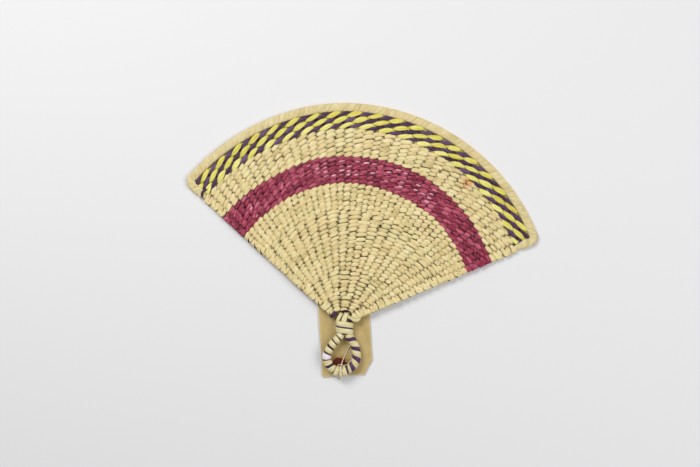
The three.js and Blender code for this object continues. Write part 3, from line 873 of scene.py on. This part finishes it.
def make_rows():
    bands = {
        "neck": (straw_leaf, "straw_leaf", [
            Band(NECK_START, PAIRED_END, rows=4, columns=5, front=0.55, lean=0.5 * MM,
                 gap=4, line=0.3, taper=0.45, narrow=0.34),
            Band(PAIRED_END, INNER_START, rows=6, columns=10, front=0.57, lean=0.65 * MM,
                 gap=3.8, line=0.3, taper=0.55, narrow=0.34),
        ]),
        "inner": (straw_leaf, "straw_leaf", [
            Band(INNER_START, MIDDLE_START, rows=14, columns=20, front=0.6, lean=0.95 * MM,
                 gap=3, line=0.4)]),
        "middle": (straw_leaf, "straw_leaf", [
            Band(MIDDLE_START, MAGENTA_START, rows=6, front=0.63, lean=1.1 * MM,
                 gap=3.6, line=0.6)]),
        "magenta": (magenta_leaf, "magenta_leaf", [
            Band(MAGENTA_START, OUTER_START, rows=6, front=0.65, lean=1.2 * MM,
                 gap=5, line=0.8, marks=undyed_flecks)]),
        "outer": (straw_leaf, "straw_leaf", [
            Band(OUTER_START, STRIPE_START, rows=6, front=0.65, lean=1.3 * MM,
                 gap=3.6, line=0.9, narrow=0.38, marks=orange_stain)]),
    }
    for name, (material, slot, parts) in bands.items():
        skin = Skin()
        for band in parts:
            for number in range(band.rows):
                band.add_row(skin, number)
        skin.piece(f"{name}_rows", material, "fan", slot, f"weft_{name}")


make_rows()


# Striped rows: one yellow and one purple strand in each

STRIPE_ROWS = 3
STRIPE_FRONT = 0.72  # half a stitch's length, in ribs
STRIPE_SHIFT = 0.4  # of a row's stitches from the ribs, against the row before
STRIPE_LEAN = 1.75 * MM
STRIPE_RISE = 1.5 * MM
STRIPE_BULGE = 0.6
STRIPE_NARROW = 0.3  # share of its width that a strand has at a crossing
STRIPE_SPREAD = 0.2 * MM  # of its stitches' shift outward
STRIPE_TUCK = 1 * MM  # length of its ends under the rim's returns
STRIPE_STEPS = np.arange(8) / 8
YELLOW_WIDTH = 4.6 * MM
YELLOW_TAPER = 0.6
PURPLE_WIDTH = 3.3 * MM
PURPLE_TAPER = 0.75
PALE_ROW_TONE = 3  # of the first row's yellow strand, which has faded


def add_stripe(skin, row, is_purple):
    pitch = (RIM_START - STRIPE_START) / STRIPE_ROWS
    radius = STRIPE_START + (row + 0.5) * pitch
    column_angle = 2 * HALF_ANGLE / RIB_COUNT
    edge_angle = HALF_ANGLE - (RETURN_WIDTH - STRIPE_TUCK) / row_radius(radius, HALF_ANGLE)
    edge_place = edge_angle / column_angle + (RIB_COUNT - 1) / 2
    places = (np.arange(RIB_COUNT)[:, None] + STRIPE_STEPS).ravel()
    places = places[(places > RIB_COUNT - 1 - edge_place) & (places < edge_place)]
    shift = STRIPE_SHIFT * (row - (STRIPE_ROWS - 1) / 2)
    middle = row + shift + (0 if is_purple else 1)
    face, slant = twine(places - middle, STRIPE_FRONT)
    chance = stitch_chances(RIB_COUNT + 1, STRIPE_SPREAD)
    rib = np.rint(places - shift).astype(int)
    share = np.abs(face)
    angle = (places - (RIB_COUNT - 1) / 2) * column_angle
    here = row_radius(radius + wander(radius, angle), angle)
    here = here + STRIPE_LEAN * slant + chance["shift"][0, rib] * share
    height = STRIPE_RISE * np.sign(face) * share ** STRIPE_BULGE
    widest = (PURPLE_WIDTH if is_purple else YELLOW_WIDTH) * chance["width"][0, rib]
    narrow = STRIPE_NARROW * widest
    width = narrow + (widest - narrow) * share ** (PURPLE_TAPER if is_purple else YELLOW_TAPER)
    paler = PALE_ROW_TONE if row == 0 and not is_purple else 0
    skin.add(on_blade(here, angle, height), outward(angle), width / 2, FACE_HALF,
             tone=chance["tone"][0, rib] + paler, hue=chance["hue"][0, rib])


def make_stripes():
    for row in range(STRIPE_ROWS):
        for color, material in (("yellow", yellow_leaf), ("purple", purple_leaf)):
            skin = Skin()
            add_stripe(skin, row, color == "purple")
            node = f"stripe_{color}_{row + 1}"
            skin.piece(f"{color}_strand_{row + 1}", material, "fan", f"{color}_leaf", node)


make_stripes()


# Rim: flat strips wound slantwise over a core, one lapping over the next

RIM_HALF_WIDTH = 3.7 * MM
RIM_HALF_HEIGHT = 1.9 * MM
RIM_FLATNESS = 0.62  # of its section, which is an ellipse at 1 and squarer below
RIM_CORNER = 3 * MM  # left out at both corners, which the curve rounds off
RIM_FOOT = 1 * MM  # how far its returns go below the striped rows
RIM_TAPER = 10 * MM  # length over which the rim's ends thin out
RIM_END = 0.45  # share of its thickness that is left there
RIM_COVER_SIDE = 0.5 * MM  # how far its core lies inside, at the sides
RIM_COVER_TOP = 0.4 * MM  # and at the top
STRIP_SPACING = 4.6 * MM
STRIP_ADVANCE = 17 * MM  # along the rim in one turn round it
STRIP_START = -0.28  # turn at which a strip begins, below the rim
STRIP_END = 0.78  # and at which it ends there
STRIP_FEWEST_RINGS = 5  # of a strip cut short by the rim's end
STRIP_HALF_WIDTH = 0.66 * STRIP_SPACING
STRIP_HALF_THICKNESS = 0.2 * MM
STRIP_LAP = 0.07 * MM  # rise of a strip's edge, which lies on the strip before


def rim_side(side):
    """The rim's middle from the foot of a return, -1 at the left, to the blade's middle line."""
    middle = (RIM_START + RIM_RADIUS) / 2
    inset = RETURN_WIDTH / 2
    foot = row_radius(STRIPE_START, side * HALF_ANGLE) - RIM_FOOT
    top = row_radius(middle, side * HALF_ANGLE)
    side_radius = np.linspace(foot, top - RIM_CORNER, num=6)
    side_angle = HALF_ANGLE - inset / side_radius
    arc_end = HALF_ANGLE - (inset + RIM_CORNER) / top
    arc_angle = np.linspace(arc_end, 0, num=60)
    angle = side * np.concatenate([side_angle, arc_angle])
    radius = np.concatenate([side_radius, row_radius(middle, side * arc_angle)])
    return on_blade(radius, angle, 0 * angle)


rim_route = Route(np.vstack([rim_side(-1), rim_side(1)[-2::-1]]), spacing=0.5 * MM)


def rim_size(place):
    near = np.minimum(place, rim_route.total - place) / RIM_TAPER
    return RIM_END + (1 - RIM_END) * ease(near)


rim = Tube(
    rim_route,
    lambda place: RIM_HALF_WIDTH * rim_size(place),
    lambda place: RIM_HALF_HEIGHT * rim_size(place),
    RIM_FLATNESS)


def make_rim():
    skin = Skin()
    place = np.linspace(0, rim_route.total, num=120)
    skin.add(rim_route.at(place), np.cross(up, rim_route.ahead(place)),
             rim.half_width(place) - RIM_COVER_SIDE, rim.half_height(place) - RIM_COVER_TOP,
             section=round_section(sides=10), tone=-1.5)

    turn = np.linspace(STRIP_START, STRIP_END, num=26)
    advance = STRIP_ADVANCE * (turn - turn[0])
    start = -STRIP_ADVANCE
    while start < rim_route.total:
        place = start + advance
        kept = (place > 0) & (place < rim_route.total)
        if kept.sum() >= STRIP_FEWEST_RINGS:
            rim.wind(skin, turn[kept], place[kept], STRIP_HALF_WIDTH, STRIP_HALF_THICKNESS, STRIP_LAP,
                     tone=rng.normal(0.2, scale=0.8), hue=rng.uniform(0, 1))
        start += STRIP_SPACING * rng.uniform(low=0.85, high=1.15)
    skin.piece("rim_strips", rim_leaf, "fan", "straw_leaf", "rim_border")


make_rim()


# Handle: strips wound on the neck, on both legs of the loop and on its bottom

# Places along the loop, from the left leg's top, where the purple strip passes over its front, and how
# much of it shows there between the turns of the straw strip
PURPLE_FRONTS = np.array(
    [0.5, 5.5, 10.8, 16.8, 23, 28.8, 34.8, 41, 46.5, 51.8, 58, 66.5, 75.5, 84.8, 92]) * MM
PURPLE_SHOWN = np.array([0.6, 0.7, 0.7, 1.5, 1.2, 0.6, 2, 1, 1, 3.4, 3.6, 3.6, 3.4, 3.4, 1]) * MM
FRONT = 0.25  # of a turn, from the side of the loop to its front
WRAP_START = -0.2  # turn at which both strips begin
WRAP_END = 0.1  # turns past the last front
WRAP_STEPS = 20  # rings of a strip in one turn
WRAP_COVER = 0.3 * MM  # of a strip's middle above the core, where the two legs meet
WRAP_RISE = 0.5 * MM  # and how much more it is elsewhere
WRAP_MEETING = 12 * MM  # length over which it rises
STRAW_HALF = 0.4 * MM  # half the straw strip's thickness
PURPLE_HALF = 0.36 * MM  # and the purple strip's
PURPLE_SINK = 0.14 * MM  # how much lower it lies
PURPLE_TUCK = 0.6 * MM  # width that the straw strip covers at each edge
PALE_TURN = 4  # the straw strip's turn that is bleached
PALE_SWELL = 0.25 * MM  # how far it stands out
LEFT_TURNS = 6  # turns on the left leg, where the strips lie square to it in front
LEFT_CHANGE = 1.5  # turns after them, over which that ends
LEFT_SQUARE = 0.6  # how nearly square
DARK_TURNS = 5.8  # turns from the neck in which the purple strip is nearly black
DARK_TONE = -2.5

loop = Route(from_neck(np.column_stack([LOOP_POINTS, 0 * LOOP_POINTS[:, 0]])), spacing=0.25 * MM)


def wrap_radius(place):
    """The strips lie closer to the core where the two legs meet."""
    near = np.minimum(place, loop.total - place) / WRAP_MEETING
    return CORE_RADIUS + WRAP_COVER + WRAP_RISE * ease(near)


NECK_HALF_LENGTH = 9 * MM
NECK_COVER = 0.75 * MM  # of a strip's middle above the neck
NECK_PITCH = 5.8 * MM  # down the neck in one turn
# Strips round the neck: place down it from its upper end where one first passes over its front, its
# last turn, its rings, half its width, half its thickness and its lift, in mm
NECK_STRAW = (6.1, 1.6, 46, 2.4, 0.4, 0)
NECK_PURPLE = (9.3, 0.62, 24, 0.9, 0.35, -0.15)

neck = Tube(
    Route(from_neck(np.array([(0, 1, 0), (0, 0.5, 0), (0, -1, 0)]) * NECK_HALF_LENGTH), spacing=1 * MM),
    lambda place: NECK_HALF_WIDTH + NECK_COVER + 0 * place,
    lambda place: NECK_HALF_THICKNESS + NECK_COVER + 0 * place)

# Strips that come out of the neck's binding over the ribs, each from its lower to its upper end, with
# half its width and half its thickness, along the handle's axes from the middle of the neck, in mm
NECK_STRIPS = [
    (1.6, 0.45, [(-6.4, 4, 2), (-6, 6.4, 2.4), (-4.6, 9.2, 2), (-3.2, 11.6, 1.4), (-2.6, 12.8, 0.5)]),
    (2.3, 0.45, [(-0.8, 4, 3.6), (-0.5, 6.4, 3.8), (0.5, 9, 2.6), (1.5, 11.4, 1.6), (2, 12.8, 0.6)]),
    (1.5, 0.9, [(3.4, 9.6, 1.2), (6, 7.9, 2.4), (8.8, 6.5, 2.3), (11.3, 6.5, 1.4), (13, 7.8, 0.4),
                (13.4, 9.4, -1)]),
    (1.2, 0.8, [(6.6, 10.6, 1), (8.8, 9.3, 1.8), (11, 9.2, 1.5), (12.6, 10.2, 0.4)]),
]


def wind_neck(skin, strip, **values):
    front, last_turn, rings, half_width, half_thickness, lift = strip
    turn = np.linspace(start=-0.1, stop=last_turn, num=rings)
    place = front * MM + NECK_PITCH * (turn - FRONT)
    neck.wind(skin, turn, place, half_width * MM, half_thickness * MM, lift=lift * MM, **values)


def make_loop_strips():
    turns = len(PURPLE_FRONTS)
    fronts = np.arange(turns) + FRONT
    turn = np.linspace(WRAP_START, turns - 1 + WRAP_END, WRAP_STEPS * turns)
    square = LEFT_SQUARE * (1 - ease((turn - LEFT_TURNS) / LEFT_CHANGE))
    wound = turn - square * np.sin(2 * math.pi * (turn - FRONT)) / (2 * math.pi)
    purple_place = np.interp(wound, fronts, PURPLE_FRONTS)
    shown = np.interp(wound, fronts, PURPLE_SHOWN)
    straw_start = np.interp(wound, fronts, PURPLE_FRONTS + PURPLE_SHOWN / 2)
    straw_end = np.interp(wound + 1, fronts, PURPLE_FRONTS - PURPLE_SHOWN / 2)
    turn_tone = rng.normal(loc=0.3, scale=0.7, size=turns + 1)
    whole_turn = np.floor(turn + 0.5).astype(int)
    bleached = (whole_turn == PALE_TURN).astype(float)
    swell = PALE_SWELL * np.interp(np.abs(turn - PALE_TURN - FRONT), [0, 0.5], [1, 0])
    tube = Tube(loop, wrap_radius, wrap_radius)

    straw = Skin()
    tube.wind(straw, turn, (straw_start + straw_end) / 2, (straw_end - straw_start) / 2, STRAW_HALF,
              lift=swell, tone=turn_tone[whole_turn], hue=whole_turn / turns, fleck=bleached)
    straw.piece("loop_straw_strip", wrap_straw, "fan", "wrap_straw", "loop_wrap_straw")

    purple = Skin()
    purple_tone = np.where(turn < DARK_TURNS, DARK_TONE, turn_tone[whole_turn])
    tube.wind(purple, turn, purple_place, shown / 2 + PURPLE_TUCK, PURPLE_HALF,
              lift=-PURPLE_SINK, tone=purple_tone, hue=whole_turn / turns)
    wind_neck(purple, NECK_PURPLE, tone=-1.0, hue=0.2)
    purple.piece("loop_purple_strip", purple_leaf, "fan", "wrap_purple", "loop_wrap_purple")


def make_neck():
    skin = Skin()
    wind_neck(skin, NECK_STRAW, tone=0.5, hue=0.1)
    for half_width, half_thickness, points in NECK_STRIPS:
        lay_strip(skin, from_neck(np.array(points) * MM), 0.7 * MM, half_width * MM, half_thickness * MM,
                  tone=rng.normal(0.2, scale=0.5), hue=rng.uniform(0, 1))
    skin.piece("neck_strip", wrap_straw, "fan", "wrap_straw", "neck_binding")


# The hitch's turns: place along the loop from its bottom, half its width, slant and height, in mm
HITCH_TURNS = [(-3.2, 1.9, 0.5, 0.1), (0.5, 1.6, -0.3, 0), (4.1, 1.8, 0.6, 0.1)]
HITCH_LIFT = 1.55 * MM
HITCH_HALF = 0.42 * MM

# Its end, which lies over the turns, from the loop's bottom along the handle's axes
HITCH_TUCK = np.array([
    (-5.4, 0.4, 3.6), (-4, 0.9, 4.7), (-1.6, 1.3, 4.85), (0.8, 1.2, 4.8), (2.6, 0.6, 4.4)]) * MM


def hitch_radius(place):
    return CORE_RADIUS + HITCH_LIFT + 0 * place


def make_hitch():
    hitch = Skin()
    tube = Tube(loop, hitch_radius, hitch_radius)
    turn = np.linspace(start=-0.3, stop=0.85, num=26)
    for place, half_width, slant, height in HITCH_TURNS:
        places = loop.total / 2 + (place + 2 * slant * (turn - FRONT)) * MM
        tube.wind(hitch, turn, places, half_width * MM, HITCH_HALF, lift=height * MM,
                  tone=rng.normal(0.4, scale=0.5), hue=rng.uniform(0, 1))
    lay_strip(hitch, from_loop_bottom(HITCH_TUCK), spacing=0.5 * MM, half_width=1.0 * MM,
              half_thickness=0.3 * MM, tone=0.8, hue=0.9)
    hitch.piece("hitch_strip", wrap_straw, "fan", "wrap_straw", "loop_hitch")


make_loop_strips()
make_neck()
make_hitch()


# Loose strand ends

# A purple strand below the first row and its end at the left: degrees, radius and height in mm
FIRST_STRAND = [
    (-13, 11.6, -0.4), (-6, 12.8, 1.6), (4, 13.9, 2.3), (16, 14.6, 2.3), (26, 14.4, 1.9),
    (31, 13.8, 0.4)]
FIRST_END = [(-62, 11.6, -0.2), (-54, 12.2, 1.6), (-42, 12.6, 1.9), (-33, 13.2, 1.4), (-28, 13.6, 0)]
# A purple end laid over the foot of the rim's left return, and a pale chip of leaf beside it
PURPLE_END = [
    (-54.2, 171.6, 1.6), (-55, 172.7, 2.4), (-55.9, 172.9, 2.4), (-56.6, 171.4, 1.8), (-57.2, 169.4, 0)]
PALE_END = [(-56.3, 176.2, 2), (-57, 174.4, 2), (-57.4, 172.8, 1.4), (-57.7, 171.4, 0.2)]

# A purple end below the neck's knot, along the handle's axes from the middle of the neck
KNOT_END = np.array([(2.9, 7.6, 2.8), (4.2, 6.6, 3.5), (5.8, 5.7, 3.1), (7.4, 4.9, 2)]) * MM


def from_polar(points):
    degrees, radius, height = np.array(points).T
    return on_blade(radius * MM, np.radians(degrees), height * MM)


def add_end(skin, points, half_width, tone):
    lay_strip(skin, points, spacing=0.5 * MM, half_width=half_width, half_thickness=0.35 * MM, tip=0.5,
              tone=tone, hue=0.4)


def make_ends():
    dark = Skin()
    add_end(dark, from_polar(FIRST_STRAND), half_width=0.75 * MM, tone=-4.0)
    add_end(dark, from_polar(FIRST_END), half_width=1.6 * MM, tone=-0.5)
    add_end(dark, from_polar(PURPLE_END), half_width=1.1 * MM, tone=-0.5)
    add_end(dark, from_neck(KNOT_END), half_width=1.2 * MM, tone=-3.0)
    dark.piece("purple_ends", purple_leaf, "fan", "purple_leaf")
    pale = Skin()
    add_end(pale, from_polar(PALE_END), half_width=0.9 * MM, tone=3.0)
    pale.piece("pale_end", rim_leaf, "fan", "straw_leaf")


make_ends()


# Tag

PATCH_RADIUS = 7 * MM
PATCH_HOLE_RADIUS = 1.75 * MM
PATCH_SPREAD = 0.22 * MM  # of its ragged edge
PATCH_WAVES = 7
PATCH_WAVE_SIZE = 0.35 * MM
PATCH_CREST = 0.6  # share of its radius at which it stands highest
PATCH_CREST_RISE = 0.12 * MM
PATCH_EDGE_DROP = 0.1 * MM


def make_patch():
    """A ragged ring of fibre round the tag's hole."""
    low, high = (corner.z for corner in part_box("tag_patch"))
    points = 96
    turn = 2 * math.pi * np.arange(points) / points
    waves = PATCH_WAVE_SIZE * np.sin(PATCH_WAVES * turn)
    ragged = PATCH_RADIUS + rng.normal(0, PATCH_SPREAD, points) + waves
    crest = PATCH_CREST * ragged
    inner = np.full(points, PATCH_HOLE_RADIUS)
    outline = [
        (inner, high), (crest, high + PATCH_CREST_RISE), (ragged, high - PATCH_EDGE_DROP),
        (ragged, low), (crest, low), (inner, low),
    ]
    rings = []
    for radius, height in outline:
        flat = hole[:2] + radius[:, None] * round_section(points)
        rings.append(np.column_stack([flat, np.full(points, height)]))
    corner = np.arange(points)
    following = (corner + 1) % points
    faces = []
    for number in range(len(rings)):
        a = number * points
        b = (number + 1) % len(rings) * points
        faces += np.stack([a + corner, b + corner, b + following, a + following], axis=1).tolist()
    mesh = bpy.data.meshes.new("ragged_patch")
    mesh.from_pydata(np.vstack(rings), [], faces)
    show(mesh, fibre_patch, "tag", "fibre_patch", "tag_patch")


make_patch()


def paint_frame():
    """Materials of the frame's own nodes that stay in sight."""
    own = {name: rib_leaf for name in frame["nodes"] if name.startswith("rib_")}
    own.update(handle_core=rib_leaf, tag_card=manila_card)
    for name, material in own.items():
        materials = frame["nodes"][name].data.materials
        materials.clear()
        materials.append(material)


paint_frame()
